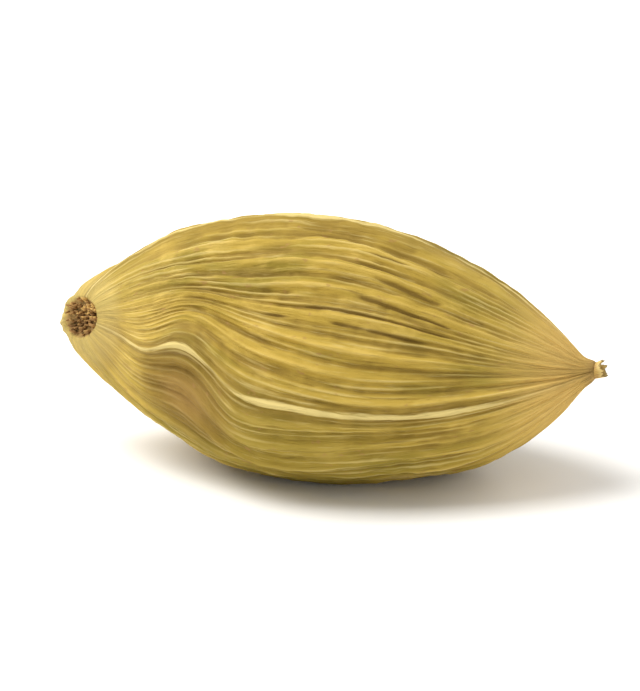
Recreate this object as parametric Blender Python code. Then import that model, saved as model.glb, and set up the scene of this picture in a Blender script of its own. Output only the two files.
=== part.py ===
"""A dried green cardamom pod, closed, lying on its broadest face.

The pod is one grown capsule, so it is one solid. Three faces meet in three keels, ribs run from end
to end, the round scar of the stalk is at -X and the beak that the flower left is at +X. Metres, +Z
up, with the origin on the surface that the pod lies on, under the middle of its box.
"""

import math

import bmesh
import bpy
from mathutils import Matrix, Vector

MM = 0.001

# Driving dimensions: the capsule, measured without its ribs
POD_LENGTH = 16.7 * MM
HALF_WIDTH = 4.35 * MM
HALF_HEIGHT = 4.0 * MM
FATTEST_AT = 0.49            # share of the length, from the stalk end
STALK_TAPER = 0.64           # 0.5 makes that end an ellipse, 1 makes it a lens with a point
BEAK_TAPER = 0.73
BEAK_SOFTNESS = 0.06         # a larger value lets the husk melt sooner into the beak
REST_PLANE = -3.24 * MM      # height of the resting surface, measured from the pod's own axis

# The three rounded corners of the section, as turns from straight up towards the front
CORNER_TURNS = (math.radians(-5.0), math.radians(108.0), math.radians(240.0))
CORNER_SIZE = 0.34           # how far a corner stands out, as a share of the radius
CORNER_NARROWNESS = 2.6
CORNER_MEAN = 0.85           # level of the three corners that keeps the section's size

# The keels: the front one runs above its corner, because the pod has dried askew
FRONT_KEEL_TURN = math.radians(90.0)
KEEL_TURNS = (math.radians(-5.0), FRONT_KEEL_TURN, math.radians(240.0))
KEEL_HEIGHT = 0.30 * MM
KEEL_NARROWNESS = 110.0
KEEL_DETOUR = 0.29           # radians by which the front keel climbs round the dent by the stalk
DETOUR_AT = 0.245            # share of the length
DETOUR_LENGTH = 0.10
DETOUR_NARROWNESS = 6.0      # how soon the ribs beside the keel stop climbing with it

# Ribs along the husk
RIB_COUNT = 30
RIB_HEIGHT = 0.17 * MM
RIB_FLOOR = 0.30             # the faintest rib's height, as a share of the boldest one's
RIB_SWAY = 0.042             # radians that a rib wanders to either side
SLOW_SWAY = 6.0              # radians of the sway's wave over the whole length
QUICK_SWAY = 13.0

# The pod's own axis is bowed: it sinks towards the beak, both ends turn up and a little to one side
STALK_LIFT = 1.15 * MM       # fades with the square of the distance from the stalk end
BEAK_DROP = 0.40 * MM        # grows with the fourth power of the share of the length
BEAK_LIFT = 1.00 * MM        # grows with the eighth power, so the beak turns up most
SIDE_BOW = 0.30 * MM

# Stalk scar: a rim round a shallow hollow, turned towards the front
SCAR_RADIUS = 0.85 * MM
STUB_REACH = 2.6 * MM        # length over which the stalk's stub melts into the husk
SCAR_HOLLOW = 0.45 * MM
HOLLOW_WIDTH = 0.80          # width of an end's hollow, as a share of that end's width
SCAR_TURN_FRONT = 1.05       # slope of its face towards the front
SCAR_TURN_UP = 0.35          # slope of its face upwards
SCAR_REACH = 0.10            # share of the length over which that slope fades

# Beak: the dried foot of the flower
BEAK_LENGTH = 0.40 * MM
BEAK_RADIUS = 0.31 * MM
BEAK_FLARE = 0.15            # slope at which the beak widens towards the husk
BEAK_REACH = 1.6 * MM
BEAK_HOLLOW = 0.18 * MM
END_ROUNDING = 0.50 * MM     # length over which an end rounds off
END_SQUARENESS = 4.0         # 2 makes an end a half ball, more makes it flatter
END_BLEND = 2.1              # a larger value makes a harder corner where an end meets the husk

# Where the husk swells over the seeds, or has sunk between them with a negative height:
# share of the length, turn in degrees, half length as a share, half width in radians, height
SWELLS = (
    (0.42, 175.0, 0.180, 0.50, 0.28 * MM),
    (0.22, 104.0, 0.100, 0.40, -0.60 * MM),
    (0.26, 88.0, 0.075, 0.16, -0.28 * MM),
    (0.25, 72.0, 0.090, 0.15, 0.20 * MM),
    (0.37, 95.0, 0.065, 0.28, 0.16 * MM),
    (0.67, 146.0, 0.080, 0.40, -0.22 * MM),
    (0.36, 38.0, 0.120, 0.30, -0.12 * MM),
    (0.70, 298.0, 0.130, 0.34, -0.26 * MM),
    (0.33, 288.0, 0.100, 0.30, -0.20 * MM),
    (0.84, 122.0, 0.100, 0.45, 0.26 * MM),
)

# The faint relief dies away where the husk is pressed flat by its own weight
REST_TURN = math.radians(180.0)
REST_AT = 0.48
REST_LENGTH = 0.14
REST_WIDTH = 0.32

# Facets: four segments to each rib
SEGMENTS = 4 * RIB_COUNT
RINGS = 48

HUSK_GREEN = (0.47, 0.34, 0.09, 1.0)


def clear_scene():
    for old in list(bpy.data.objects):
        bpy.data.objects.remove(old, do_unlink=True)


def fullness(share):
    """Radius at a share of the length, as a share of the greatest radius."""
    if share < FATTEST_AT:
        return (1.0 - (1.0 - share / FATTEST_AT) ** 2) ** STALK_TAPER
    left = 1.0 - ((share - FATTEST_AT) / (1.0 - FATTEST_AT)) ** 2
    return ((left + math.hypot(left, BEAK_SOFTNESS)) / 2.0) ** BEAK_TAPER


def lobe(turn, centre, narrowness):
    """A bump that is 1 at its centre and falls off smoothly round the section."""
    return math.exp(-narrowness * (1.0 - math.cos(turn - centre)))


def patch(share, turn, at, centre, half_length, half_width):
    """A bump that is 1 at one place on the husk and falls off both ways."""
    across = 2.0 * math.sin((turn - centre) / 2.0) / half_width
    along = (share - at) / half_length
    return math.exp(-along * along - across * across)


def corners(turn):
    """The rounded triangle: what its three corners add to a round section."""
    lobes = sum(lobe(turn, corner, CORNER_NARROWNESS) for corner in CORNER_TURNS)
    return CORNER_SIZE * (lobes - CORNER_MEAN)


def sway(share, line):
    """How far a line along the husk has wandered round it, in radians."""
    uneven_spacing = 0.8 * math.sin(2.0 * line + 0.5)
    slow = math.sin(SLOW_SWAY * share + 3.0 * line)
    quick = 0.5 * math.sin(QUICK_SWAY * share - 5.0 * line)
    beside_dent = math.exp(-((share - DETOUR_AT) / DETOUR_LENGTH) ** 2)
    detour = beside_dent * lobe(line, FRONT_KEEL_TURN, DETOUR_NARROWNESS)
    return RIB_SWAY * (uneven_spacing + slow + quick) - KEEL_DETOUR * detour


def relief(share, line):
    """Height of the keels and of the ribs between them, in metres."""
    unevenness = math.sin(5.0 * line + 4.0 * share) * math.cos(3.0 * line - 7.0 * share)
    strength = (1.0 + RIB_FLOOR) / 2.0 + (1.0 - RIB_FLOOR) / 2.0 * unevenness
    crest = 0.5 + 0.5 * math.cos(RIB_COUNT * line)
    keel = sum(lobe(line, centre, KEEL_NARROWNESS) for centre in KEEL_TURNS)
    return RIB_HEIGHT * strength * crest + KEEL_HEIGHT * keel


def end_radius(share):
    """Radius of the stalk stub near one end and of the beak near the other."""
    from_tip = (1.0 - share) * POD_LENGTH
    beak = (BEAK_RADIUS + BEAK_FLARE * from_tip) * math.exp(-(from_tip / BEAK_REACH) ** 2)
    stub = SCAR_RADIUS * math.exp(-(share * POD_LENGTH / STUB_REACH) ** 2)
    return stub + beak


def end_rounding(share):
    """How far the section has opened at a share of the length, from 0 at an end to 1."""
    from_end = min(share, 1.0 - share) * POD_LENGTH
    to_go = 1.0 - min(from_end / END_ROUNDING, 1.0)
    return (1.0 - to_go ** END_SQUARENESS) ** (1.0 / END_SQUARENESS)


def husk_point(share, line):
    """The place on the surface at a share of the length, on a line along the husk.

    A line is named by its turn from straight up, before it wanders with the ribs.
    """
    turn = line + sway(share, line)
    full = fullness(share * POD_LENGTH / (POD_LENGTH - BEAK_LENGTH))
    pressed = patch(share, turn, REST_AT, REST_TURN, REST_LENGTH, REST_WIDTH)
    raised = relief(share, line) * math.sqrt(full) * (1.0 - pressed)
    for at, centre, half_length, half_width, swell in SWELLS:
        raised += swell * patch(share, turn, at, math.radians(centre), half_length, half_width)
    body = HALF_HEIGHT * full * (1.0 + corners(turn) * full) + raised
    radius = (max(body, 0.0) ** END_BLEND + end_radius(share) ** END_BLEND) ** (1.0 / END_BLEND)
    radius *= end_rounding(share)

    hollow_depth, hollow_radius, inwards = SCAR_HOLLOW, SCAR_RADIUS, 1.0
    if share > 0.5:
        hollow_depth, hollow_radius, inwards = BEAK_HOLLOW, BEAK_RADIUS, -1.0
    hollow = max(0.0, 1.0 - (radius / (HOLLOW_WIDTH * hollow_radius)) ** 2) * hollow_depth

    flattening = 1.0 + (HALF_WIDTH / HALF_HEIGHT - 1.0) * full
    across = -radius * math.sin(turn) * flattening
    up = radius * math.cos(turn)
    near_scar = math.exp(-share / SCAR_REACH)
    x = POD_LENGTH * share + inwards * hollow
    x += near_scar * (SCAR_TURN_UP * up - SCAR_TURN_FRONT * across)
    y = across - SIDE_BOW * math.cos(math.pi * share)
    z = up + STALK_LIFT * (1.0 - share) ** 2 - BEAK_DROP * share ** 4 + BEAK_LIFT * share ** 8
    return Vector((x, y, max(z, REST_PLANE) - REST_PLANE))


def make_pod(collection):
    """Move the points of a sphere, whose poles are the two ends, to the husk's own surface."""
    shape = bmesh.new()
    poles_on_x = Matrix.Rotation(math.pi / 2.0, 3, "Y")
    bmesh.ops.create_uvsphere(shape, u_segments=SEGMENTS, v_segments=RINGS, radius=1.0)
    bmesh.ops.rotate(shape, cent=(0.0, 0.0, 0.0), matrix=poles_on_x, verts=shape.verts)
    for vert in shape.verts:
        share = (1.0 + max(-1.0, min(1.0, vert.co.x))) / 2.0
        line = math.atan2(-vert.co.y, vert.co.z)
        vert.co = husk_point(share, line)

    lowest = Vector([min(vert.co[axis] for vert in shape.verts) for axis in range(3)])
    highest = Vector([max(vert.co[axis] for vert in shape.verts) for axis in range(3)])
    middle = (lowest + highest) / 2.0
    bmesh.ops.translate(shape, vec=(-middle.x, -middle.y, -lowest.z), verts=shape.verts)
    bmesh.ops.recalc_face_normals(shape, faces=shape.faces)

    mesh = bpy.data.meshes.new("cardamom_pod")
    shape.to_mesh(mesh)
    shape.free()
    mesh.shade_smooth()
    pod = bpy.data.objects.new("cardamom_pod", mesh)
    collection.objects.link(pod)
    return pod


def dried_husk():
    """Papery dried husk: straw green, rough, not metallic."""
    material = bpy.data.materials.new("dried_husk")
    material.use_nodes = True
    shader = material.node_tree.nodes["Principled BSDF"]
    shader.inputs["Base Color"].default_value = HUSK_GREEN
    shader.inputs["Roughness"].default_value = 0.65
    shader.inputs["Metallic"].default_value = 0.0
    return material


def main():
    clear_scene()
    collection = bpy.data.collections.new("green_cardamom_pod")
    bpy.context.scene.collection.children.link(collection)
    pod = make_pod(collection)
    pod.data.materials.append(dried_husk())


main()
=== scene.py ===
# %% [markdown]
# A dried green cardamom pod, seen close up. The pod is one closed capsule, 17.5 mm long: a papery
# husk of three faces that meet in three keels, with ribs from end to end, the woody scar of the
# stalk on the left and the dry beak of the flower on the right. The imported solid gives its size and
# place. This script grows a finer skin by the same rule, adds the torn tissue at both ends, and
# gives each its finish.

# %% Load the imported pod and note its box
import math
from types import SimpleNamespace

import bpy
from mathutils import Matrix, Vector


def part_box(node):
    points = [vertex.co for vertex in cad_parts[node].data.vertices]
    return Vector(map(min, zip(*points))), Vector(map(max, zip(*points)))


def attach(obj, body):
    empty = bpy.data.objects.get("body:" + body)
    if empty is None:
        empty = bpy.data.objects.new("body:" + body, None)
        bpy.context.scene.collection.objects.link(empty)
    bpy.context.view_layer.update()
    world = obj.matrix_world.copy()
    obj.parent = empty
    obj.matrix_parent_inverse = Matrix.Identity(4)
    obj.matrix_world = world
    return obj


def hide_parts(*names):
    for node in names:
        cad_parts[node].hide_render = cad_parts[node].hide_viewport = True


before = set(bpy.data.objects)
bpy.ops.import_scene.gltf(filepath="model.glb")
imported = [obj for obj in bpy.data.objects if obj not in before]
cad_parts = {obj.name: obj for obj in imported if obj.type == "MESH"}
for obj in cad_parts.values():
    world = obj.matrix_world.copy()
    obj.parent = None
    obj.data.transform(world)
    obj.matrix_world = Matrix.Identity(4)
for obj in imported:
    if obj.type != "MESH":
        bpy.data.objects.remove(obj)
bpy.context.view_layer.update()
MM = 0.001
LOWEST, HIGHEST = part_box("cardamom_pod")
MIDDLE = (LOWEST + HIGHEST) / 2.0
print("packed pod, mm:", [round(side / MM, 2) for side in HIGHEST - LOWEST])

# %% [markdown]
# Nodes build everything here: geometry nodes the shape, shader nodes the finish. One helper adds a
# node of any kind, sets its properties and fills or links its inputs, so that a rule reads as a
# list of steps. A colour is picked as an sRGB hex value and turned into the linear light that a
# renderer works in.

# %% Two helpers: any node, any colour
MATH = "ShaderNodeMath"


def add_node(tree, kind, inputs=(), **settings):
    node = tree.nodes.new(kind)
    for name, value in settings.items():
        setattr(node, name, value)
    pairs = inputs.items() if isinstance(inputs, dict) else enumerate(inputs)
    for key, value in pairs:
        if isinstance(value, bpy.types.Node):
            value = value.outputs[0]
        if isinstance(value, bpy.types.NodeSocket):
            tree.links.new(value, node.inputs[key])
        else:
            node.inputs[key].default_value = value
    return node


def linear(hex_colour):
    channels = [int(hex_colour[at:at + 2], 16) / 255.0 for at in (1, 3, 5)]
    return [c / 12.92 if c <= 0.04045 else ((c + 0.055) / 1.055) ** 2.4 for c in channels] + [1.0]


# %% [markdown]
# The camera comes first, because everything is judged through it. It looks at the pod as the
# photograph does: from a little above, with the beak end turned slightly nearer. One pod is a tiny
# part of that picture, so its perspective is almost flat, and a very long lens keeps it so here.

# %% Camera
VIEW_AZIMUTH = math.radians(15.0)
VIEW_ELEVATION = math.radians(18.0)
LENS = 420.0
FRAME_ASPECT = 640.0 / 691.0
WIDTH_IN_FRAME = 0.84        # the pod's share of the picture's width

camera = bpy.data.objects.new("camera", bpy.data.cameras.new("camera"))
bpy.context.scene.collection.objects.link(camera)
camera.data.lens = LENS
towards_camera = Vector((
    math.sin(VIEW_AZIMUTH) * math.cos(VIEW_ELEVATION),
    -math.cos(VIEW_AZIMUTH) * math.cos(VIEW_ELEVATION),
    math.sin(VIEW_ELEVATION),
))
half_view = camera.data.sensor_width / 2.0 / LENS * FRAME_ASPECT
pod_across = (HIGHEST.x - LOWEST.x) * math.cos(VIEW_AZIMUTH)
distance = pod_across / WIDTH_IN_FRAME / 2.0 / half_view
camera.location = MIDDLE + towards_camera * distance
camera.rotation_euler = (-towards_camera).to_track_quat("-Z", "Y").to_euler()
camera.data.clip_start = 1.0 * MM
bpy.context.scene.camera = camera
print("camera distance, mm:", round(distance / MM, 1))

# %% [markdown]
# The husk's shape follows a rule, so geometry nodes grow it. A sphere gives a closed skin whose two
# poles become the ends. Each point has a share of the length and a line along the husk, and the
# rule turns those two into a place: how full the pod is there, how its three corners stand out, how
# high the rib is. The numbers are those of the solid, so the fine skin lies where the solid lies.

# %% The pod's dimensions
POD_LENGTH = 16.7 * MM
HALF_WIDTH = 4.35 * MM
HALF_HEIGHT = 4.0 * MM
FATTEST_AT = 0.49            # share of the length, from the stalk end
STALK_TAPER = 0.64           # a smaller power makes a blunter end
BEAK_TAPER = 0.73
BEAK_SOFTNESS = 0.06         # rounds off where the body runs out into the beak
REST_PLANE = -3.24 * MM

CORNER_TURNS = (math.radians(-5.0), math.radians(108.0), math.radians(240.0))
CORNER_SIZE = 0.34
CORNER_NARROWNESS = 2.6
CORNER_MEAN = 0.85

FRONT_KEEL_TURN = math.radians(90.0)
KEEL_TURNS = (math.radians(-5.0), FRONT_KEEL_TURN, math.radians(240.0))
KEEL_HEIGHT = 0.30 * MM
KEEL_NARROWNESS = 110.0
KEEL_DETOUR = 0.29           # radians by which the front keel climbs round the dent by the stalk
DETOUR_AT = 0.245            # share of the length where it climbs furthest
DETOUR_LENGTH = 0.10
DETOUR_NARROWNESS = 6.0

RIB_COUNT = 30
RIB_HEIGHT = 0.17 * MM
RIB_FLOOR = 0.30             # the least share of its height that the waves leave a rib
RIB_SWAY = 0.042             # radians by which the lines along the husk swing to the side

STALK_LIFT = 1.15 * MM
BEAK_DROP = 0.40 * MM
BEAK_LIFT = 1.00 * MM
SIDE_BOW = 0.30 * MM
rule_sizes = (POD_LENGTH, HALF_WIDTH, HALF_HEIGHT)
print("length, half width, half height by the rule, mm:", [round(size / MM, 2) for size in rule_sizes])

# %% Dimensions of the two ends and of what is swollen or sunk
SCAR_RADIUS = 0.85 * MM
STUB_REACH = 2.6 * MM
SCAR_HOLLOW = 0.45 * MM
HOLLOW_WIDTH = 0.80          # share of the end's radius
SCAR_TURN_FRONT = 1.05       # slopes by which the scar's face turns to the front and up
SCAR_TURN_UP = 0.35
SCAR_REACH = 0.10

BEAK_LENGTH = 0.40 * MM
BEAK_RADIUS = 0.31 * MM
BEAK_FLARE = 0.15
BEAK_REACH = 1.6 * MM
BEAK_HOLLOW = 0.18 * MM
END_ROUNDING = 0.50 * MM
END_SQUARENESS = 4.0
END_BLEND = 2.1              # the power that blends the body with both ends

# Share of the length, turn in degrees, half length as a share, half width in radians, height
SWELLS = (
    (0.22, 104.0, 0.100, 0.40, -0.60 * MM),
    (0.42, 175.0, 0.180, 0.50, 0.28 * MM),
    (0.26, 88.0, 0.075, 0.16, -0.28 * MM),
    (0.25, 72.0, 0.090, 0.15, 0.20 * MM),
    (0.37, 95.0, 0.065, 0.28, 0.16 * MM),
    (0.67, 146.0, 0.080, 0.40, -0.22 * MM),
    (0.36, 38.0, 0.120, 0.30, -0.12 * MM),
    (0.70, 298.0, 0.130, 0.34, -0.26 * MM),
    (0.33, 288.0, 0.100, 0.30, -0.20 * MM),
    (0.84, 122.0, 0.100, 0.45, 0.26 * MM),
)
REST_SPOT = (0.48, 180.0, 0.14, 0.32)
print("swells and dents:", len(SWELLS))

# %% Bumps and waves that the rule is made of


def bell(rule, offset):
    """A bell-shaped bump: exp(-offset squared)."""
    squared = add_node(rule, MATH, (offset, offset), operation="MULTIPLY")
    power = add_node(rule, MATH, (squared, -1.0), operation="MULTIPLY")
    return add_node(rule, MATH, (power,), operation="EXPONENT")


def lobe(rule, turn, centre, narrowness):
    """A bump round the section: exp(-narrowness (1 - cos(turn - centre)))."""
    offset = add_node(rule, MATH, (turn, centre), operation="SUBTRACT")
    level = add_node(rule, MATH, (offset,), operation="COSINE")
    power = add_node(rule, MATH, (level, narrowness, -narrowness), operation="MULTIPLY_ADD")
    return add_node(rule, MATH, (power,), operation="EXPONENT")


def patch(rule, at, share, degrees, half_length, half_width):
    """A bump at one place on the husk, which falls off both ways."""
    steps = (at.turn, 0.5, -math.radians(degrees) / 2.0)
    half_turn = add_node(rule, MATH, steps, operation="MULTIPLY_ADD")
    chord = add_node(rule, MATH, (half_turn,), operation="SINE")
    across = bell(rule, add_node(rule, MATH, (chord, 2.0 / half_width), operation="MULTIPLY"))
    steps = (at.share, 1.0 / half_length, -share / half_length)
    along = bell(rule, add_node(rule, MATH, steps, operation="MULTIPLY_ADD"))
    return add_node(rule, MATH, (across, along), operation="MULTIPLY")


def waves(rule, share, line, terms):
    """The sum of size sin(share_rate share + line_rate line + phase)."""
    total = 0.0
    for share_rate, line_rate, phase, size in terms:
        lengthwise = add_node(rule, MATH, (share, share_rate, phase), operation="MULTIPLY_ADD")
        angle = add_node(rule, MATH, (line, line_rate, lengthwise), operation="MULTIPLY_ADD")
        wave = add_node(rule, MATH, (angle,), operation="SINE")
        total = add_node(rule, MATH, (wave, size, total), operation="MULTIPLY_ADD")
    return total


def added(rule, terms):
    """The sum of several fields, each times its own size."""
    total = 0.0
    for field, size in terms:
        total = add_node(rule, MATH, (field, size, total), operation="MULTIPLY_ADD")
    return total


def lobes(rule, turn, centres, narrowness, size=1.0):
    """A bump of one size at each of several turns."""
    return added(rule, [(lobe(rule, turn, centre, narrowness), size) for centre in centres])


# %% Where a point of the skin lies on the husk


def husk_place(rule, sizes):
    """Share of the length, line along the husk, turn round it, and fibre coordinates in mm."""
    at = SimpleNamespace(seed=sizes["Seed"])
    on_sphere = add_node(rule, "GeometryNodeInputPosition")
    x, y, z = add_node(rule, "ShaderNodeSeparateXYZ", (on_sphere,)).outputs
    at.share = add_node(rule, MATH, (z, 0.5, 0.5), operation="MULTIPLY_ADD", use_clamp=True)
    at.line = add_node(rule, MATH, (y, x), operation="ARCTAN2")
    sway = waves(rule, at.share, at.line, (
        (0.0, 2.0, 0.5, 0.8 * RIB_SWAY),
        (6.0, 3.0, 0.0, RIB_SWAY),
        (13.0, -5.0, 0.0, 0.5 * RIB_SWAY),
    ))
    past_dent = (at.share, 1.0 / DETOUR_LENGTH, -DETOUR_AT / DETOUR_LENGTH)
    beside_dent = bell(rule, add_node(rule, MATH, past_dent, operation="MULTIPLY_ADD"))
    detour = lobe(rule, at.line, FRONT_KEEL_TURN, DETOUR_NARROWNESS)
    detour = add_node(rule, MATH, (detour, beside_dent), operation="MULTIPLY")
    wander = add_node(rule, MATH, (detour, -KEEL_DETOUR, sway), operation="MULTIPLY_ADD")
    at.turn = add_node(rule, MATH, (at.line, wander), operation="ADD")
    cosine = add_node(rule, MATH, (at.line,), operation="COSINE")
    sine = add_node(rule, MATH, (at.line,), operation="SINE")
    on_skin = add_node(rule, "ShaderNodeCombineXYZ", (at.share, cosine, sine))
    in_mm = (POD_LENGTH / MM, HALF_HEIGHT / MM, HALF_HEIGHT / MM)
    at.grain = add_node(rule, "ShaderNodeVectorMath", (on_skin, in_mm), operation="MULTIPLY")
    return at


# %% Form of the capsule


def fullness(rule, at):
    """Radius at a share of the length, as a share of the greatest radius."""
    body_share = POD_LENGTH / (POD_LENGTH - BEAK_LENGTH)
    before = (at.share, -body_share / FATTEST_AT, 1.0)
    past = (at.share, body_share / (1.0 - FATTEST_AT), -FATTEST_AT / (1.0 - FATTEST_AT))
    sides = []
    for steps, taper, softness in ((before, STALK_TAPER, 0.0), (past, BEAK_TAPER, BEAK_SOFTNESS)):
        from_middle = add_node(rule, MATH, steps, operation="MULTIPLY_ADD")
        from_middle = add_node(rule, MATH, (from_middle, 0.0), operation="MAXIMUM")
        squared = add_node(rule, MATH, (from_middle, from_middle), operation="MULTIPLY")
        left = add_node(rule, MATH, (1.0, squared), operation="SUBTRACT")
        size = add_node(rule, MATH, (left, left, softness ** 2), operation="MULTIPLY_ADD")
        size = add_node(rule, MATH, (size,), operation="SQRT")
        twice = add_node(rule, MATH, (left, size), operation="ADD")
        soft = add_node(rule, MATH, (twice, 0.5), operation="MULTIPLY")
        sides.append(add_node(rule, MATH, (soft, taper), operation="POWER"))
    return add_node(rule, MATH, sides, operation="MULTIPLY")


def end_radius(rule, at):
    """Radius of the stalk stub near one end and of the beak near the other, and their rounding."""
    from_tip = add_node(rule, MATH, (at.share, -POD_LENGTH, POD_LENGTH), operation="MULTIPLY_ADD")
    from_stalk = add_node(rule, MATH, (at.share, POD_LENGTH), operation="MULTIPLY")
    beak_size = add_node(rule, MATH, (from_tip, BEAK_FLARE, BEAK_RADIUS), operation="MULTIPLY_ADD")
    feet = 0.0
    ends = ((beak_size, from_tip, BEAK_REACH), (SCAR_RADIUS, from_stalk, STUB_REACH))
    for size, from_end, reach in ends:
        fade = bell(rule, add_node(rule, MATH, (from_end, reach), operation="DIVIDE"))
        feet = add_node(rule, MATH, (fade, size, feet), operation="MULTIPLY_ADD")
    from_end = add_node(rule, MATH, (from_tip, from_stalk), operation="MINIMUM")
    steps = (from_end, -1.0 / END_ROUNDING, 1.0)
    inside = add_node(rule, MATH, steps, operation="MULTIPLY_ADD", use_clamp=True)
    corner = add_node(rule, MATH, (inside, END_SQUARENESS), operation="POWER")
    left = add_node(rule, MATH, (1.0, corner), operation="SUBTRACT", use_clamp=True)
    rounding = add_node(rule, MATH, (left, 1.0 / END_SQUARENESS), operation="POWER")
    uneven_rim = waves(rule, at.share, at.line, ((0.0, 3.0, 1.0, 0.07), (0.0, 8.0, 0.0, 0.05)))
    rim = add_node(rule, MATH, (uneven_rim, 1.0), operation="ADD")
    return add_node(rule, MATH, (feet, rim), operation="MULTIPLY"), rounding


def end_hollow(rule, at, radius):
    """How far the surface sinks into the pod at the scar (positive) and at the beak (negative)."""
    at_stalk = add_node(rule, MATH, (at.share, 0.5), operation="LESS_THAN")
    at_beak = add_node(rule, MATH, (1.0, at_stalk), operation="SUBTRACT")
    ends = ((at_stalk, SCAR_RADIUS, SCAR_HOLLOW), (at_beak, BEAK_RADIUS, -BEAK_HOLLOW))
    terms = []
    for side, width, depth in ends:
        across = add_node(rule, MATH, (radius, HOLLOW_WIDTH * width), operation="DIVIDE")
        squared = add_node(rule, MATH, (across, across), operation="MULTIPLY")
        bowl = add_node(rule, MATH, (1.0, squared), operation="SUBTRACT", use_clamp=True)
        terms.append((add_node(rule, MATH, (bowl, side), operation="MULTIPLY"), depth))
    return added(rule, terms)


# %% [markdown]
# Drying draws the husk in between its veins, and that leaves relief at several scales: thirty ribs
# that drift and break off, furrows where the wall has folded lengthwise, fine striations, shallow
# puckers across them, and a few warts. Noise alone would look like stone. Stretched along the pod
# it looks like plant fibre, and the ribs and furrows are waves round the section whose phase the
# noise shifts, so they wander, meet and part but never turn back.

# %% Noise along the fibres, and waves round the husk
def stretched_noise(rule, at, stretch, per_mm, detail=0.0):
    """Noise from -0.5 to 0.5, with its cells stretched along the pod."""
    frequency = (per_mm / stretch, per_mm, per_mm)
    scaled = add_node(rule, "ShaderNodeVectorMath", (at.grain, frequency), operation="MULTIPLY")
    settings = {"Vector": scaled, "W": at.seed, "Scale": 1.0, "Detail": detail}
    noise = add_node(rule, "ShaderNodeTexNoise", settings, noise_dimensions="4D")
    return add_node(rule, MATH, (noise, 0.5), operation="SUBTRACT")


def crests(rule, at, count, drift, per_mm, sharpness=1.0):
    """Waves round the husk, from 0 in a groove to 1 on a crest, which drift as they run along."""
    noise = stretched_noise(rule, at, 5.0, per_mm)
    shift = add_node(rule, MATH, (noise, drift), operation="MULTIPLY")
    angle = add_node(rule, MATH, (at.line, count, shift), operation="MULTIPLY_ADD")
    wave = add_node(rule, MATH, (angle,), operation="COSINE")
    level = add_node(rule, MATH, (wave, 0.5, 0.5), operation="MULTIPLY_ADD")
    return add_node(rule, MATH, (level, sharpness), operation="POWER")


# %% Ribs, striae and furrows
RIB_DRIFT = 4.0              # radians by which noise shifts the waves of the ribs
RIB_BREAK = 2.4              # how strongly noise breaks the ribs off
STRIA_COUNT = 101.0
STRIA_BREAK = 2.6
STRIA_STRENGTH = 0.60
FURROW_COUNT = 49.0
FURROW_EDGES = (0.15, 0.34)  # where a fold begins to show, and where it shows in full
CREASE_BOOST = 0.36          # what a creased place adds to the noise that decides this


def rib_share(rule, at):
    """How much of its height a rib has at a place, from 0 where it has died out to 1."""
    one_wave = waves(rule, at.share, at.line, ((4.0, 5.0, 0.0, 1.0),))
    other_wave = waves(rule, at.share, at.line, ((-7.0, 3.0, math.pi / 2.0, 1.0),))
    uneven = add_node(rule, MATH, (one_wave, other_wave), operation="MULTIPLY")
    steps = (uneven, (1.0 - RIB_FLOOR) / 2.0, (1.0 + RIB_FLOOR) / 2.0)
    strength = add_node(rule, MATH, steps, operation="MULTIPLY_ADD")
    broken = stretched_noise(rule, at, 5.0, 1.3, detail=1.0)
    steps = (broken, RIB_BREAK, strength)
    return add_node(rule, MATH, steps, operation="MULTIPLY_ADD", use_clamp=True)


def striae(rule, at):
    """Fine sharp lines, a quarter of a millimetre apart, that come and go between the ribs."""
    line = crests(rule, at, STRIA_COUNT, drift=9.0, per_mm=0.8, sharpness=1.7)
    broken = stretched_noise(rule, at, 4.0, 1.5, detail=1.0)
    steps = (broken, STRIA_BREAK, STRIA_STRENGTH)
    strength = add_node(rule, MATH, steps, operation="MULTIPLY_ADD", use_clamp=True)
    return add_node(rule, MATH, (line, strength), operation="MULTIPLY")


def furrows(rule, at, creased):
    """Narrow folds along the husk, broken into pieces, more of them where it has creased."""
    fold = crests(rule, at, FURROW_COUNT, drift=12.0, per_mm=0.7, sharpness=8.0)
    pieces = stretched_noise(rule, at, 3.0, 1.9, detail=2.0)
    here = add_node(rule, MATH, (creased, CREASE_BOOST, pieces), operation="MULTIPLY_ADD")
    steps = (here, *FURROW_EDGES, 0.0, 1.0)
    shown = add_node(rule, "ShaderNodeMapRange", steps, interpolation_type="SMOOTHSTEP")
    return add_node(rule, MATH, (fold, shown), operation="MULTIPLY")


# %% Warts
WARTS_PER_MM = 0.9
WART_EDGES = (0.04, 0.20)    # distance from a cell's point, in cells, of a wart's top and foot
WART_RARITY = 0.62           # the higher it is, the more cells stay bare


def warts(rule, at):
    """Small round bumps on a few of the cells of a Voronoi pattern."""
    settings = {"Vector": at.grain, "W": at.seed, "Scale": WARTS_PER_MM}
    cells = add_node(rule, "ShaderNodeTexVoronoi", settings, voronoi_dimensions="4D")
    steps = (cells.outputs["Distance"], *WART_EDGES, 1.0, 0.0)
    bump = add_node(rule, "ShaderNodeMapRange", steps, interpolation_type="SMOOTHSTEP")
    steps = (cells.outputs["Color"], WART_RARITY)
    picked = add_node(rule, MATH, steps, operation="GREATER_THAN")
    return add_node(rule, MATH, (bump, picked), operation="MULTIPLY")


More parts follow.
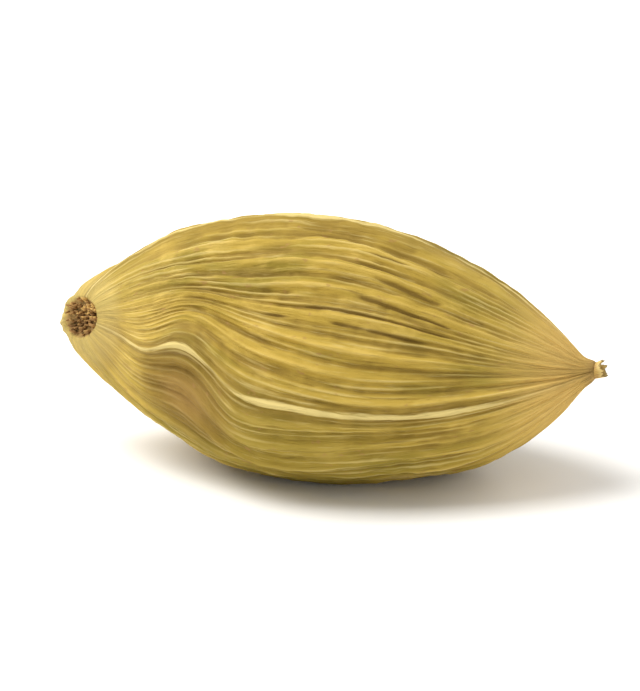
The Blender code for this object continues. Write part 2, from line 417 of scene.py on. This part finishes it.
# %% All of the relief, in metres
RIB_ROUNDNESS = 0.85         # share of a rib's height in its round crest, under the vein
VEIN_SHARPNESS = 6.0
VEIN_HEIGHT = 0.08 * MM
STRIA_HEIGHT = 0.070 * MM
FURROW_DEPTH = 0.080 * MM
RELIEF_NOISE = (             # height, stretch along the fibres, cells to a millimetre, detail
    (0.15 * MM, 6.0, 2.9, 1.5),    # streaks
    (0.10 * MM, 9.0, 6.5, 1.0),    # fibres
    (0.13 * MM, 1.5, 2.2, 2.0),    # wrinkles
    (0.09 * MM, 0.5, 1.3, 1.0),    # puckers
)
WART_HEIGHT = 0.035 * MM
LUMP_HEIGHT = 0.26 * MM
RIDGE_HEIGHT = 0.08 * MM     # the sharp line on top of a keel
RIDGE_NARROWNESS = 1500.0
FOOT_DEPTH = 0.06 * MM       # the grooves at its two sides
FOOT_NARROWNESS = 230.0
SEAM_DEPTH = 0.05 * MM       # the fine groove along its middle
SEAM_NARROWNESS = 4200.0
CREASED_SPOT = (0.64, 38.0, 0.20, 0.44)    # a place, given as in SWELLS


def husk_relief(rule, at, sizes):
    """The height that drying has left, and what the finish needs to know about it."""
    fold = furrows(rule, at, patch(rule, at, *CREASED_SPOT))
    stria = striae(rule, at)
    crest = crests(rule, at, sizes["Ribs"], drift=RIB_DRIFT, per_mm=0.55)
    height_share = rib_share(rule, at)
    rib = add_node(rule, MATH, (crest, height_share), operation="MULTIPLY")
    rib_height = add_node(rule, MATH, (rib, sizes["Rib height"]), operation="MULTIPLY")
    vein = add_node(rule, MATH, (crest, VEIN_SHARPNESS), operation="POWER")
    vein = add_node(rule, MATH, (vein, height_share), operation="MULTIPLY")
    noises = [(stretched_noise(rule, at, *cells), height) for height, *cells in RELIEF_NOISE]
    small = added(rule, (
        (rib_height, RIB_ROUNDNESS),
        (vein, VEIN_HEIGHT),
        (stria, STRIA_HEIGHT),
        (fold, -FURROW_DEPTH),
        *noises,
        (warts(rule, at), WART_HEIGHT),
    ))
    keel = lobes(rule, at.line, KEEL_TURNS, KEEL_NARROWNESS)
    keel_height = add_node(rule, MATH, (keel, sizes["Keel height"]), operation="MULTIPLY")
    ridge = lobes(rule, at.line, KEEL_TURNS, RIDGE_NARROWNESS)
    foot = lobes(rule, at.line, KEEL_TURNS, FOOT_NARROWNESS)
    foot = add_node(rule, MATH, (foot, ridge), operation="SUBTRACT")
    seam = lobes(rule, at.line, KEEL_TURNS, SEAM_NARROWNESS)
    raised = added(rule, (
        (small, 1.0),
        (keel_height, 1.0),
        (ridge, RIDGE_HEIGHT),
        (foot, -FOOT_DEPTH),
        (seam, -SEAM_DEPTH),
        (stretched_noise(rule, at, 1.5, 0.40), LUMP_HEIGHT),
    ))
    facts = {
        "relief": (small, 1.0 / RIB_HEIGHT),
        "stria": (stria, 1.0),
        "furrow": (fold, 1.0),
        "keel": (ridge, 1.0),
        "keel_foot": (foot, 1.0),
        "seam": (seam, 1.0),
    }
    return raised, facts


# %% [markdown]
# The last step of the rule sets the section on the pod's own bowed axis. The radius is a rounded
# triangle plus the relief, blended with the stub and the beak at the ends. What would sink below
# the surface that the pod lies on is pressed flat against it.

# %% Radius of the section, and its place on the axis


def section_radius(rule, at, sizes, raised):
    full = fullness(rule, at)
    root_full = add_node(rule, MATH, (full, 0.5), operation="POWER")
    free = add_node(rule, MATH, (1.0, patch(rule, at, *REST_SPOT)), operation="SUBTRACT")
    fading = add_node(rule, MATH, (root_full, free), operation="MULTIPLY")
    swells = added(rule, [(patch(rule, at, *place), height) for *place, height in SWELLS])
    relief = add_node(rule, MATH, (raised, fading, swells), operation="MULTIPLY_ADD")
    corners = lobes(rule, at.turn, CORNER_TURNS, CORNER_NARROWNESS, CORNER_SIZE)
    steps = (corners, CORNER_SIZE * CORNER_MEAN)
    corners = add_node(rule, MATH, steps, operation="SUBTRACT")
    section = add_node(rule, MATH, (corners, full, 1.0), operation="MULTIPLY_ADD")
    plain = add_node(rule, MATH, (full, sizes["Half height"]), operation="MULTIPLY")
    body = add_node(rule, MATH, (plain, section, relief), operation="MULTIPLY_ADD")
    body = add_node(rule, MATH, (body, 0.0), operation="MAXIMUM")
    body = add_node(rule, MATH, (body, END_BLEND), operation="POWER")
    end, rounding = end_radius(rule, at)
    end = add_node(rule, MATH, (end, END_BLEND), operation="POWER")
    both = add_node(rule, MATH, (body, end), operation="ADD")
    radius = add_node(rule, MATH, (both, 1.0 / END_BLEND), operation="POWER")
    return full, add_node(rule, MATH, (radius, rounding), operation="MULTIPLY")


def husk_position(rule, at, sizes, full, radius):
    widening = add_node(rule, MATH, (sizes["Half width"], sizes["Half height"]), operation="DIVIDE")
    widening = add_node(rule, MATH, (widening, 1.0), operation="SUBTRACT")
    widening = add_node(rule, MATH, (widening, full, 1.0), operation="MULTIPLY_ADD")
    sine = add_node(rule, MATH, (at.turn,), operation="SINE")
    cosine = add_node(rule, MATH, (at.turn,), operation="COSINE")
    across = add_node(rule, MATH, (sine, radius), operation="MULTIPLY")
    across = add_node(rule, MATH, (across, widening), operation="MULTIPLY")
    across = add_node(rule, MATH, (across, -1.0), operation="MULTIPLY")
    up = add_node(rule, MATH, (cosine, radius), operation="MULTIPLY")

    hollow = end_hollow(rule, at, radius)
    near_scar = add_node(rule, MATH, (at.share, -1.0 / SCAR_REACH), operation="MULTIPLY")
    near_scar = add_node(rule, MATH, (near_scar,), operation="EXPONENT")
    slope = added(rule, ((up, SCAR_TURN_UP), (across, -SCAR_TURN_FRONT)))
    x = add_node(rule, MATH, (at.share, sizes["Length"], hollow), operation="MULTIPLY_ADD")
    x = add_node(rule, MATH, (near_scar, slope, x), operation="MULTIPLY_ADD")
    half_wave = add_node(rule, MATH, (at.share, math.pi), operation="MULTIPLY")
    bow = add_node(rule, MATH, (half_wave,), operation="COSINE")
    y = add_node(rule, MATH, (bow, -SIDE_BOW, across), operation="MULTIPLY_ADD")
    z = up
    to_beak = add_node(rule, MATH, (1.0, at.share), operation="SUBTRACT")
    lifts = ((to_beak, 2.0, STALK_LIFT), (at.share, 4.0, -BEAK_DROP), (at.share, 8.0, BEAK_LIFT))
    for base, power, lift in lifts:
        fade = add_node(rule, MATH, (base, power), operation="POWER")
        z = add_node(rule, MATH, (fade, lift, z), operation="MULTIPLY_ADD")
    z = add_node(rule, MATH, (z, REST_PLANE), operation="MAXIMUM")
    z = add_node(rule, MATH, (z, REST_PLANE), operation="SUBTRACT")
    return hollow, add_node(rule, "ShaderNodeCombineXYZ", (x, y, z))


# %% The husk's tree
SEGMENTS = 600
RINGS = 166
COLOURED_PLACES = {          # what only the finish needs to know, given as in SWELLS
    # brown in the dent by the stalk: partly a bruise, partly painted shade
    "bruise": (0.24, 104.0, 0.12, 0.42),
    # a painted highlight on the top keel near the beak
    "rubbed": (0.80, -2.0, 0.20, 0.10),
    # darker olive on the lower face: partly a greener underside, partly painted shade
    "green": (0.43, 120.0, 0.30, 0.62),
    "stain": (0.03, 105.0, 0.030, 0.90),
    "worn_keel": (0.34, 92.0, 0.045, 0.40),
}


def new_tree(name, inputs):
    """An empty geometry tree with named inputs, and the outputs of its group input."""
    tree = bpy.data.node_groups.new(name, "GeometryNodeTree")
    tree.interface.new_socket("Geometry", in_out="OUTPUT", socket_type="NodeSocketGeometry")
    for socket, kind in inputs.items():
        tree.interface.new_socket(socket, in_out="INPUT", socket_type="NodeSocket" + kind)
    return tree, add_node(tree, "NodeGroupInput").outputs


def finish_tree(tree, geometry, material):
    """Smooth shading, real geometry instead of instances, and the material."""
    smooth = add_node(tree, "GeometryNodeSetShadeSmooth", {"Geometry": geometry, "Shade Smooth": True})
    real = add_node(tree, "GeometryNodeRealizeInstances", (smooth,))
    finished = add_node(tree, "GeometryNodeSetMaterial", {"Geometry": real, "Material": material})
    add_node(tree, "NodeGroupOutput", (finished,))
    return tree


def husk_tree(material):
    lengths = ("Length", "Half width", "Half height", "Ribs", "Rib height", "Keel height", "Seed")
    rule, sizes = new_tree("cardamom_husk", dict.fromkeys(lengths, "Float"))
    at = husk_place(rule, sizes)
    raised, facts = husk_relief(rule, at, sizes)
    full, radius = section_radius(rule, at, sizes, raised)
    hollow, position = husk_position(rule, at, sizes, full, radius)
    facts["hollow"] = (hollow, 1.0 / SCAR_HOLLOW)
    for name, place in COLOURED_PLACES.items():
        facts[name] = (patch(rule, at, *place), 1.0)
    skin = add_node(rule, "GeometryNodeMeshUVSphere", (SEGMENTS, RINGS, 1.0))
    skin = add_node(rule, "GeometryNodeStoreNamedAttribute",
                    {"Geometry": skin, "Name": "grain", "Value": at.grain}, data_type="FLOAT_VECTOR")
    for name, (field, scale) in facts.items():
        value = add_node(rule, MATH, (field, scale), operation="MULTIPLY")
        skin = add_node(rule, "GeometryNodeStoreNamedAttribute",
                        {"Geometry": skin, "Name": name, "Value": value}, data_type="FLOAT")
    grown = add_node(rule, "GeometryNodeSetPosition", {"Geometry": skin, "Position": position})
    return finish_tree(rule, grown, material)


# %% Running a tree and keeping its mesh


def grow(name, tree, sizes):
    """Run a tree on an empty object and keep the result as the object's own plain mesh."""
    piece = bpy.data.objects.new(name, bpy.data.meshes.new(name))
    bpy.context.scene.collection.objects.link(piece)
    modifier = piece.modifiers.new(name, "NODES")
    modifier.node_group = tree
    for item in tree.interface.items_tree:
        if item.in_out == "INPUT":
            modifier[item.identifier] = sizes[item.name]
    depsgraph = bpy.context.evaluated_depsgraph_get()
    evaluated = piece.evaluated_get(depsgraph)
    mesh = bpy.data.meshes.new_from_object(
        evaluated, preserve_all_data_layers=True, depsgraph=depsgraph)
    piece.modifiers.remove(modifier)
    piece.data = mesh
    mesh.name = name
    print(name, "triangles:", sum(len(face.vertices) - 2 for face in mesh.polygons))
    return piece


# %% [markdown]
# A dried husk is dead plant fibre, matt to faintly satin: straw where it is thin and raised, olive
# where some green is left, brown in the folds and where it was bruised. Part of this is painted light
# and shade: the brown in the grooves, folds, dent and scar hollow is partly painted shade, the olive
# on the lower face is partly painted shade, the pale right shoulder is a painted highlight, and the
# pale keels and beak end are partly painted light. The colour follows the relief, so the finish reads
# what the rule stored at each point instead of an unrelated pattern.
# The finest fibres, a tenth of a millimetre apart, are too small for the mesh and stay in the bump.

# %% Colours of the dried husk
STRAW = "#CEAF58"
GOLDEN = "#B2953E"
OLIVE = "#89782B"
# brown of dark fibres, and of painted shade in grooves and folds
FIBRE_BROWN_AND_PAINTED_SHADE = "#6A511C"
# brown of the stain by the stalk, and of the dent, where it is partly painted shade
BRUISE_AND_SHADE_BROWN = "#7B5D26"
TAN = "#A27B49"
SCAR_BROWN = "#70512D"
PALE_STRAW = "#DBC57F"
PALE_TAN = "#DDB668"

# %% Paint in layers


def painted(tree, base, layers):
    """Lay colours over a base, each where its field rises from low to high, up to a strength."""
    colour = linear(base)
    for field, low, high, strength, over in layers:
        steps = (field, low, high, 0.0, strength)
        share = add_node(tree, "ShaderNodeMapRange", steps, interpolation_type="SMOOTHSTEP")
        mixed = {0: share, 6: colour, 7: linear(over)}
        colour = add_node(tree, "ShaderNodeMix", mixed, data_type="RGBA").outputs[2]
    return colour


def matt_material(name, specular, attributes):
    """A new material, its tree, its shader, and the stored attributes that its paint reads."""
    material = bpy.data.materials.new(name)
    material.use_nodes = True
    tree = material.node_tree
    shader = tree.nodes["Principled BSDF"]
    shader.inputs["Specular IOR Level"].default_value = specular
    facts = {}
    for attribute, output in attributes.items():
        node = add_node(tree, "ShaderNodeAttribute",
                        attribute_name=attribute, attribute_type="GEOMETRY")
        facts[attribute] = node.outputs[output]
    return material, tree, shader, facts


# %% Finish of the dried husk
HUSK_PATTERNS = {            # stretch along the fibres, cells to a millimetre across them, detail
    "patches": (2.2, 0.34, 3.0),
    "blotches": (1.7, 0.9, 4.0),
    "flecks": (2.0, 4.2, 2.0),
    "streaks": (8.0, 2.6, 4.0),
    "fibres": (14.0, 11.0, 3.0),
}
GRAIN_DEPTH = 0.07 * MM


def dried_husk():
    """Papery dried husk: matt to faintly satin, mottled straw and olive, brown in its folds, with
    painted light and shade.
    """
    relief_names = ("relief", "stria", "furrow", "keel", "keel_foot", "seam")
    names = (*relief_names, *COLOURED_PLACES, "hollow")
    attributes = {**dict.fromkeys(names, "Fac"), "grain": "Vector"}
    material, tree, shader, facts = matt_material(
        "dried_cardamom_husk", specular=0.15, attributes=attributes)
    pattern = {}
    for name, (stretch, per_mm, detail) in HUSK_PATTERNS.items():
        frequency = (per_mm / stretch, per_mm, per_mm)
        steps = (facts["grain"], frequency)
        scaled = add_node(tree, "ShaderNodeVectorMath", steps, operation="MULTIPLY")
        settings = {"Vector": scaled, "Scale": 1.0, "Detail": detail, "Roughness": 0.6}
        pattern[name] = add_node(tree, "ShaderNodeTexNoise", settings)
    depth = add_node(tree, MATH, (1.0, facts["relief"]), operation="SUBTRACT")
    from_stalk = add_node(tree, "ShaderNodeSeparateXYZ", (facts["grain"],)).outputs["X"]
    # The pale line along the keels: partly the keel's own paler fibre, partly a painted highlight.
    # Streaks and fibres break it up, and it is left out at one place by the dent.
    keel_line_breaks = add_node(tree, MATH, (pattern["streaks"], pattern["fibres"]), operation="ADD")
    keel_line_breaks = add_node(tree, MATH, (keel_line_breaks, 2.6, -2.7), operation="MULTIPLY_ADD")
    keel_line = add_node(tree, MATH, (keel_line_breaks, facts["keel"]), operation="ADD")
    keel_line = add_node(tree, MATH, (keel_line, facts["keel"]), operation="MULTIPLY")
    keel_line = add_node(tree, MATH, (keel_line, facts["worn_keel"]), operation="SUBTRACT")
    # Each layer: a field, where it starts to show and shows in full, its strength, its colour
    colour = painted(tree, GOLDEN, (
        (pattern["patches"], 0.48, 0.62, 0.80, OLIVE),
        (pattern["blotches"], 0.52, 0.68, 0.55, STRAW),
        (pattern["streaks"], 0.52, 0.70, 0.50, OLIVE),
        (facts["relief"], 0.70, 1.70, 0.75, STRAW),
        # Brown in the grooves, the deeper the browner: partly the husk's own darker grooves, partly
        # painted shade.
        (depth, 0.40, 1.20, 0.68, FIBRE_BROWN_AND_PAINTED_SHADE),
        # Darker olive on the lower face: partly a greener underside, partly painted shade.
        (facts["green"], 0.10, 0.80, 0.55, OLIVE),
        (from_stalk, 4.5, 0.8, 0.40, STRAW),
        # Paler towards the beak: partly the drier end's own straw, partly painted light where that end
        # turns away from the lamp.
        (from_stalk, 12.6, 16.0, 0.75, STRAW),
        # Pale straw on the top keel near the beak: a painted highlight.
        (facts["rubbed"], 0.20, 0.95, 0.50, STRAW),
        # Brown in the grooves beside each keel: painted shade.
        (facts["keel_foot"], 0.10, 0.45, 0.40, FIBRE_BROWN_AND_PAINTED_SHADE),
        # Pale line along the keels: partly the keel's paler fibre, partly a painted highlight.
        (keel_line, 0.10, 0.70, 0.80, PALE_STRAW),
        (facts["stria"], 0.35, 0.95, 0.40, PALE_STRAW),
        (pattern["fibres"], 0.54, 0.76, 0.35, PALE_STRAW),
        (pattern["fibres"], 0.42, 0.28, 0.40, FIBRE_BROWN_AND_PAINTED_SHADE),
        # Brown in the dent by the stalk, tan at its middle: partly a bruise, partly painted shade.
        (facts["bruise"], 0.12, 0.62, 0.60, BRUISE_AND_SHADE_BROWN),
        (facts["bruise"], 0.60, 0.98, 0.30, TAN),
        (pattern["flecks"], 0.64, 0.76, 0.60, TAN),
        # Dark brown along the folds: partly the husk's own browned creases, partly painted shade.
        (facts["furrow"], 0.08, 0.85, 0.85, FIBRE_BROWN_AND_PAINTED_SHADE),
        (facts["seam"], 0.35, 0.95, 0.30, PALE_STRAW),
        (from_stalk, 0.9, 0.3, 0.30, PALE_STRAW),
        (facts["stain"], 0.10, 0.90, 0.30, BRUISE_AND_SHADE_BROWN),
        # Paler still near the beak: partly its own colour, partly painted light.
        (from_stalk, 13.6, 16.2, 0.75, PALE_TAN),
        (from_stalk, 16.2, 16.7, 0.50, TAN),
        (facts["hollow"], 0.01, 0.25, 0.75, TAN),
        # Darker brown deeper in the hollow: the scar's own brown, partly painted shade.
        (facts["hollow"], 0.25, 0.70, 0.35, SCAR_BROWN),
    ))
    roughness = add_node(tree, "ShaderNodeMapRange", (pattern["streaks"], 0.3, 0.7, 0.55, 0.78))
    steps = (pattern["streaks"], 0.7, pattern["fibres"])
    height = add_node(tree, MATH, steps, operation="MULTIPLY_ADD")
    settings = {"Strength": 1.0, "Distance": GRAIN_DEPTH, "Height": height}
    bump = add_node(tree, "ShaderNodeBump", settings)
    tree.links.new(colour, shader.inputs["Base Color"])
    tree.links.new(roughness.outputs[0], shader.inputs["Roughness"])
    tree.links.new(bump.outputs[0], shader.inputs["Normal"])
    return material


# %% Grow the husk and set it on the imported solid
HUSK_SEED = 7.0
husk = grow("husk", husk_tree(dried_husk()), {
    "Length": POD_LENGTH,
    "Half width": HALF_WIDTH,
    "Half height": HALF_HEIGHT,
    "Ribs": float(RIB_COUNT),
    "Rib height": RIB_HEIGHT,
    "Keel height": KEEL_HEIGHT,
    "Seed": HUSK_SEED,
})
sides = [[vertex.co[axis] for vertex in husk.data.vertices] for axis in range(3)]
husk_middle = Vector([(min(side) + max(side)) / 2.0 for side in sides])
SHIFT = Vector((MIDDLE.x - husk_middle.x, MIDDLE.y - husk_middle.y, LOWEST.z - min(sides[2])))
husk.data.transform(Matrix.Translation(SHIFT))
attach(husk, "root")
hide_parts("cardamom_pod")
print("shift onto the solid, mm:", [round(step / MM, 3) for step in SHIFT])

# %% [markdown]
# Where the pod broke off its stalk, the torn ends of the stalk's fibres stand in the scar. They are
# many and alike, so they are instances of one tapered stub on points scattered over the hollow,
# turned to stand the way the stalk stood, each leaning and sized a little differently.

# %% Torn fibres in the stalk scar
FIBRE_COUNT = 130            # for a flat scar: the skin of the hollow has room for more
FIBRE_LENGTH = 0.19 * MM
FIBRE_RADIUS = 0.048 * MM
FIBRE_LEAN = 0.45            # radians, at most, about each axis
FIBRE_SIDES = 6
FIBRE_TIP = 0.45             # share of its radius left at the torn end
SMALLEST_FIBRE = (0.7, 0.7, 0.45)    # shares of the radius, both ways across, and of the length
LARGEST_FIBRE = (1.2, 1.2, 1.25)
SCAR_EDGE = 0.25             # share of the hollow's depth where the fibres begin
SCATTER_SEED, LEAN_SEED, TONE_SEED = 3, 5, 9
STALK_WAY = Vector((-1.0, -SCAR_TURN_FRONT, SCAR_TURN_UP)).normalized()
HOLLOW_AREA = math.pi * (HOLLOW_WIDTH * SCAR_RADIUS) ** 2


def fibre_tree(material):
    inputs = {"Husk": "Object", "Count": "Float", "Length": "Float", "Radius": "Float", "Seed": "Int"}
    tree, sizes = new_tree("stalk_fibres", inputs)
    husk_skin = add_node(tree, "GeometryNodeObjectInfo", (sizes["Husk"],)).outputs["Geometry"]
    hollow = add_node(tree, "GeometryNodeInputNamedAttribute", ("hollow",), data_type="FLOAT")
    in_scar = add_node(tree, MATH, (hollow, SCAR_EDGE), operation="GREATER_THAN")
    density = add_node(tree, MATH, (sizes["Count"], HOLLOW_AREA), operation="DIVIDE")
    scatter = {"Mesh": husk_skin, "Selection": in_scar, "Density": density, "Seed": sizes["Seed"]}
    points = add_node(tree, "GeometryNodeDistributePointsOnFaces", scatter)
    stub = add_node(tree, "GeometryNodeMeshCone", {
        "Vertices": FIBRE_SIDES,
        "Side Segments": 1,
        "Radius Top": add_node(tree, MATH, (sizes["Radius"], FIBRE_TIP), operation="MULTIPLY"),
        "Radius Bottom": sizes["Radius"],
        "Depth": sizes["Length"],
    })
    upright = add_node(tree, "FunctionNodeAlignRotationToVector", {"Vector": STALK_WAY}, axis="Z")
    limits = {"Min": SMALLEST_FIBRE, "Max": LARGEST_FIBRE}
    size = add_node(tree, "FunctionNodeRandomValue", limits, data_type="FLOAT_VECTOR")
    stubs = add_node(tree, "GeometryNodeInstanceOnPoints",
                     {"Points": points, "Instance": stub, "Rotation": upright, "Scale": size})
    limits = {"Min": (-FIBRE_LEAN,) * 3, "Max": (FIBRE_LEAN,) * 3, "Seed": LEAN_SEED}
    lean = add_node(tree, "FunctionNodeRandomValue", limits, data_type="FLOAT_VECTOR")
    leaning = add_node(tree, "GeometryNodeRotateInstances", {"Instances": stubs, "Rotation": lean})
    foot = add_node(tree, "ShaderNodeSeparateXYZ", (add_node(tree, "GeometryNodeInputPosition"),))
    # The higher a fibre stands in the scar, the paler it is painted: painted light and shade, added to
    # a random tone.
    above_middle = (foot.outputs["Z"], 0.5 / SCAR_RADIUS, 0.5 * (REST_PLANE - STALK_LIFT) / SCAR_RADIUS)
    above_middle = add_node(tree, MATH, above_middle, operation="MULTIPLY_ADD")
    tone = add_node(tree, "FunctionNodeRandomValue", {"Seed": TONE_SEED}, data_type="FLOAT")
    tone = add_node(tree, MATH, (tone.outputs[1], above_middle), operation="ADD")
    toned = add_node(tree, "GeometryNodeStoreNamedAttribute",
                     {"Geometry": leaning, "Name": "tone", "Value": tone},
                     data_type="FLOAT", domain="INSTANCE")
    return finish_tree(tree, toned, material)


def torn_fibre():
    """Broken woody fibre: matt, with a random tone and painted light and shade: browner low in the
    scar, paler towards its top.
    """
    material, tree, shader, facts = matt_material(
        "torn_stalk_fibre", specular=0.2, attributes={"tone": "Fac"})
    colour = painted(tree, SCAR_BROWN, (
        (facts["tone"], -0.2, 0.5, 0.9, TAN),
        (facts["tone"], 0.5, 1.1, 0.7, PALE_TAN),
    ))
    tree.links.new(colour, shader.inputs["Base Color"])
    shader.inputs["Roughness"].default_value = 0.8
    return material


fibres = grow("stalk_scar_fibres", fibre_tree(torn_fibre()), {
    "Husk": husk,
    "Count": float(FIBRE_COUNT),
    "Length": FIBRE_LENGTH,
    "Radius": FIBRE_RADIUS,
    "Seed": SCATTER_SEED,
})
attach(fibres, "root")
print("torn fibres:", len(fibres.data.vertices) // (2 * FIBRE_SIDES))

# %% [markdown]
# The flower dried on the other end and broke away, and a ring of its papery tube is left on the
# beak. It is a thin wall with a torn edge: a sphere's skin again, of which one half becomes the
# outside of the wall and the other half its inside, with the sphere's equator as the torn edge.

# %% Papery ring of the flower on the beak
RING_RADIUS = 0.23 * MM
RING_HEIGHT = 0.30 * MM
RING_FOOT = 0.18 * MM        # how far its foot reaches in behind the beak's tip
RING_WALL = 0.035 * MM
RING_FLARE = 0.20            # share of its radius that it widens by towards the edge
RING_SEGMENTS, RING_RINGS = 96, 40
TORN_EDGE = (0.15, 1.30)     # shares of its height where the edge is torn lowest and least
RING_WAY = Vector((1.0, 0.0, 0.38)).normalized()
BEAK_TIP = Vector((POD_LENGTH, SIDE_BOW, BEAK_LIFT - BEAK_DROP - REST_PLANE)) + SHIFT


def ring_tree(material):
    names = ("Radius", "Height", "Foot", "Wall", "Flare", "Seed")
    rule, sizes = new_tree("flower_ring", dict.fromkeys(names, "Float"))
    skin = add_node(rule, "GeometryNodeMeshUVSphere", (RING_SEGMENTS, RING_RINGS, 1.0))
    on_sphere = add_node(rule, "GeometryNodeInputPosition")
    x, y, z = add_node(rule, "ShaderNodeSeparateXYZ", (on_sphere,)).outputs
    line = add_node(rule, MATH, (y, x), operation="ARCTAN2")
    cosine = add_node(rule, MATH, (line,), operation="COSINE")
    sine = add_node(rule, MATH, (line,), operation="SINE")
    up_wall = add_node(rule, MATH, (z,), operation="ABSOLUTE")
    up_wall = add_node(rule, MATH, (1.0, up_wall), operation="SUBTRACT")
    inside = add_node(rule, MATH, (z, 0.0), operation="GREATER_THAN")

    round_place = add_node(rule, "ShaderNodeCombineXYZ", (cosine, sine, 0.0))
    settings = {"Vector": round_place, "W": sizes["Seed"],
                "Scale": 2.6, "Detail": 3.0, "Roughness": 0.7}
    torn = add_node(rule, "ShaderNodeTexNoise", settings, noise_dimensions="4D")
    edge = add_node(rule, "ShaderNodeMapRange", (torn, 0.30, 0.70, *TORN_EDGE))
    edge = add_node(rule, MATH, (edge, sizes["Height"]), operation="MULTIPLY")
    reach = add_node(rule, MATH, (edge, sizes["Foot"]), operation="ADD")
    height = add_node(rule, MATH, (up_wall, reach), operation="MULTIPLY")
    height = add_node(rule, MATH, (height, sizes["Foot"]), operation="SUBTRACT")
    floor_lift = add_node(rule, MATH, (inside, sizes["Wall"]), operation="MULTIPLY")
    down_wall = add_node(rule, MATH, (1.0, up_wall), operation="SUBTRACT")
    height = add_node(rule, MATH, (floor_lift, down_wall, height), operation="MULTIPLY_ADD")

    closing = add_node(rule, MATH, (up_wall, 9.0), operation="MULTIPLY", use_clamp=True)
    widening = add_node(rule, MATH, (up_wall, sizes["Flare"], 1.0), operation="MULTIPLY_ADD")
    folds = add_node(rule, MATH, (torn, 0.35, 0.83), operation="MULTIPLY_ADD")
    radius = add_node(rule, MATH, (sizes["Radius"], widening), operation="MULTIPLY")
    radius = add_node(rule, MATH, (radius, folds), operation="MULTIPLY")
    thinner = add_node(rule, MATH, (inside, sizes["Wall"]), operation="MULTIPLY")
    radius = add_node(rule, MATH, (radius, thinner), operation="SUBTRACT")
    radius = add_node(rule, MATH, (radius, closing), operation="MULTIPLY")
    place = (add_node(rule, MATH, (cosine, radius), operation="MULTIPLY"),
             add_node(rule, MATH, (sine, radius), operation="MULTIPLY"), height)
    position = add_node(rule, "ShaderNodeCombineXYZ", place)
    facts = (("up_wall", up_wall, "FLOAT"), ("round_ring", round_place, "FLOAT_VECTOR"))
    for name, field, kind in facts:
        skin = add_node(rule, "GeometryNodeStoreNamedAttribute",
                        {"Geometry": skin, "Name": name, "Value": field}, data_type=kind)
    grown = add_node(rule, "GeometryNodeSetPosition", {"Geometry": skin, "Position": position})
    return finish_tree(rule, grown, material)


def papery_tube():
    """Dried petal tissue: thin and matt, tan with straw veins, browned along its torn edge."""
    attributes = {"up_wall": "Fac", "round_ring": "Vector"}
    material, tree, shader, facts = matt_material(
        "dried_flower_tube", specular=0.25, attributes=attributes)
    settings = {"Vector": facts["round_ring"], "Scale": 9.0, "Detail": 2.0}
    veins = add_node(tree, "ShaderNodeTexNoise", settings)
    colour = painted(tree, TAN, (
        (veins, 0.40, 0.62, 0.8, STRAW),
        (facts["up_wall"], 0.50, 0.85, 0.60, PALE_STRAW),
        (facts["up_wall"], 0.88, 1.0, 0.80, SCAR_BROWN),
    ))
    bump = add_node(tree, "ShaderNodeBump", {"Strength": 0.5, "Distance": 0.02 * MM, "Height": veins})
    tree.links.new(colour, shader.inputs["Base Color"])
    tree.links.new(bump.outputs[0], shader.inputs["Normal"])
    shader.inputs["Roughness"].default_value = 0.75
    return material


ring = grow("flower_ring", ring_tree(papery_tube()), {
    "Radius": RING_RADIUS,
    "Height": RING_HEIGHT,
    "Foot": RING_FOOT,
    "Wall": RING_WALL,
    "Flare": RING_FLARE,
    "Seed": 2.0,
})
upright_ring = RING_WAY.to_track_quat("Z", "Y").to_matrix().to_4x4()
ring.data.transform(Matrix.Translation(BEAK_TIP) @ upright_ring)
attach(ring, "root")
ring_end = max(vertex.co.x for vertex in ring.data.vertices)
print("ring past the packed pod's tip, mm:", round((ring_end - HIGHEST.x) / MM, 2))

# %% [markdown]
# A studio for something so small: a white card under it, one large soft light high on the left, as
# the photograph's highlights show, a weak fill low in front on the right, another weak light behind
# the pod on the right that keeps its far edge from going dark, and a pale surrounding. The standard
# view keeps the card white and the husk's colours as saturated as they were picked.

# %% Floor and lights
FLOOR_SIZE = 1.2
CARD_WHITE = "#F6F5F2"
LIGHTS = {                   # place and size in metres, power in watts
    "key": ((-0.20, -0.04, 0.28), 0.28, 1.74),
    "fill": ((0.27, -0.20, 0.14), 0.22, 0.24),
    "back": ((0.16, 0.22, 0.16), 0.18, 0.30),
}
SURROUNDING = 0.50           # strength of the white surrounding


def floor_card():
    """White card: matt, so it takes a soft shadow and mirrors nothing."""
    material = bpy.data.materials.new("white_card")
    material.use_nodes = True
    shader = material.node_tree.nodes["Principled BSDF"]
    shader.inputs["Base Color"].default_value = linear(CARD_WHITE)
    shader.inputs["Roughness"].default_value = 0.9
    half = FLOOR_SIZE / 2.0
    mesh = bpy.data.meshes.new("floor")
    corners = [(-half, -half, 0), (half, -half, 0), (half, half, 0), (-half, half, 0)]
    mesh.from_pydata(corners, [], [(0, 1, 2, 3)])
    mesh.materials.append(material)
    floor = bpy.data.objects.new("floor", mesh)
    bpy.context.scene.collection.objects.link(floor)


def soft_light(name, place, size, watts):
    light = bpy.data.lights.new(name, "AREA")
    light.size = size
    light.energy = watts
    lamp = bpy.data.objects.new(name, light)
    lamp.location = place
    lamp.rotation_euler = (MIDDLE - Vector(place)).to_track_quat("-Z", "Y").to_euler()
    bpy.context.scene.collection.objects.link(lamp)


floor_card()
for name, (place, size, watts) in LIGHTS.items():
    soft_light(name, place, size, watts)
world = bpy.data.worlds.new("studio")
world.use_nodes = True
background = world.node_tree.nodes["Background"]
background.inputs["Color"].default_value = (1.0, 1.0, 1.0, 1.0)
background.inputs["Strength"].default_value = SURROUNDING
bpy.context.scene.world = world
bpy.context.scene.view_settings.view_transform = "Standard"
